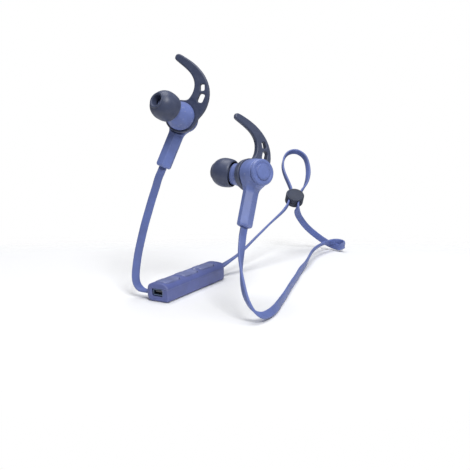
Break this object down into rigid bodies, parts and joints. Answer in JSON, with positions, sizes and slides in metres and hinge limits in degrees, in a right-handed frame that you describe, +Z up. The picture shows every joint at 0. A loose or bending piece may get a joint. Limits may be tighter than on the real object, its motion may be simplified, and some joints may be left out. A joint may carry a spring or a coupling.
{
  "type": "neckband earphones",
  "caption": "In-ear earphones with ear fins and soft tips on a flat neck cord, with an inline control module and a sliding cord bead.",
  "frame": {"origin": "centre of the underside of the box round the earbuds, control module and cord bead, on the surface they stand on", "axes": "+Z up; +X across, from the right earbud's side to the left earbud's; +Y from the earbuds back to the cord bead"},
  "size_m": [0.1041, 0.1699, 0.1014],
  "materials": {
    "blue": "soft-touch matt",
    "silicone": "matt silicone",
    "cord": "matt elastomer",
    "dark": "satin",
    "steel": "bright",
    "film": "thin film",
    "board": "coated board",
    "foil": "foil pouch",
    "clear": "clear light pipe"
  },
  "bodies": {
    "cord_and_housings": {"rear_shell_left": "blue", "outer_cap_left": "blue", "front_shell_left": "blue", "nozzle_screen_left": "steel", "driver_frame_left": "steel", "driver_magnet_left": "steel", "diaphragm_left": "film", "cord_anchor_left": "dark", "rear_shell_right": "blue", "outer_cap_right": "blue", "front_shell_right": "blue", "nozzle_screen_right": "steel", "driver_frame_right": "steel", "driver_magnet_right": "steel", "diaphragm_right": "film", "cord_anchor_right": "dark", "module_base": "blue", "module_lid": "blue", "switch_volume_up": "dark", "switch_multifunction": "dark", "switch_volume_down": "dark", "circuit_board": "board", "battery_cell": "foil", "bluetooth_chip": "dark", "microphone": "steel", "status_light": "clear", "charging_socket": "steel", "charging_tongue": "dark", "cord_anchor_module_right": "dark", "cord_anchor_module_main": "dark", "cord_right": "cord", "cord_module_to_slider": "cord", "cord_loop": "cord", "cord_slider_to_left": "cord"},
    "cord_slider": {"slider_top": "dark", "slider_base": "dark"},
    "button_volume_up": {"button_volume_up": "blue"},
    "button_multifunction": {"button_multifunction": "blue"},
    "button_volume_down": {"button_volume_down": "blue"},
    "ear_tip_left": {"ear_tip_left": "silicone"},
    "fin_sleeve_left": {"fin_sleeve_left": "silicone"},
    "ear_tip_right": {"ear_tip_right": "silicone"},
    "fin_sleeve_right": {"fin_sleeve_right": "silicone"}
  },
  "joints": [
    {"name": "ear_tip_left_pull", "type": "slide", "parent": "cord_and_housings", "child": "ear_tip_left", "axis": [-0.8833, 0.4618, 0.0808], "range_m": [0, 0.009]},
    {"name": "fin_sleeve_left_turn", "type": "hinge", "parent": "cord_and_housings", "child": "fin_sleeve_left", "pos_m": [0.0078, -0.0499, 0.0538], "axis": [-0.5452, 0.8064, -0.2291], "range_deg": [-15, 15]},
    {"name": "ear_tip_right_pull", "type": "slide", "parent": "cord_and_housings", "child": "ear_tip_right", "axis": [-0.5832, -0.6795, 0.4452], "range_m": [0, 0.009]},
    {"name": "fin_sleeve_right_turn", "type": "hinge", "parent": "cord_and_housings", "child": "fin_sleeve_right", "pos_m": [-0.0219, -0.0326, 0.0755], "axis": [-0.1441, -0.9664, 0.2131], "range_deg": [-15, 15]},
    {"name": "button_volume_up_press", "type": "slide", "parent": "cord_and_housings", "child": "button_volume_up", "axis": [0, 0, -1], "range_m": [0, 0.00035], "stiffness_N_per_m": 1500},
    {"name": "button_multifunction_press", "type": "slide", "parent": "cord_and_housings", "child": "button_multifunction", "axis": [0, 0, -1], "range_m": [0, 0.00035], "stiffness_N_per_m": 1500},
    {"name": "button_volume_down_press", "type": "slide", "parent": "cord_and_housings", "child": "button_volume_down", "axis": [0, 0, -1], "range_m": [0, 0.00035], "stiffness_N_per_m": 1500},
    {"name": "slider_travel", "type": "slide", "parent": "cord_and_housings", "child": "cord_slider", "axis": [0.198, 0.818, 0.54], "range_m": [-0.006, 0.012], "deforming": ["cord_loop", "cord_module_to_slider", "cord_slider_to_left"]}
  ]
}
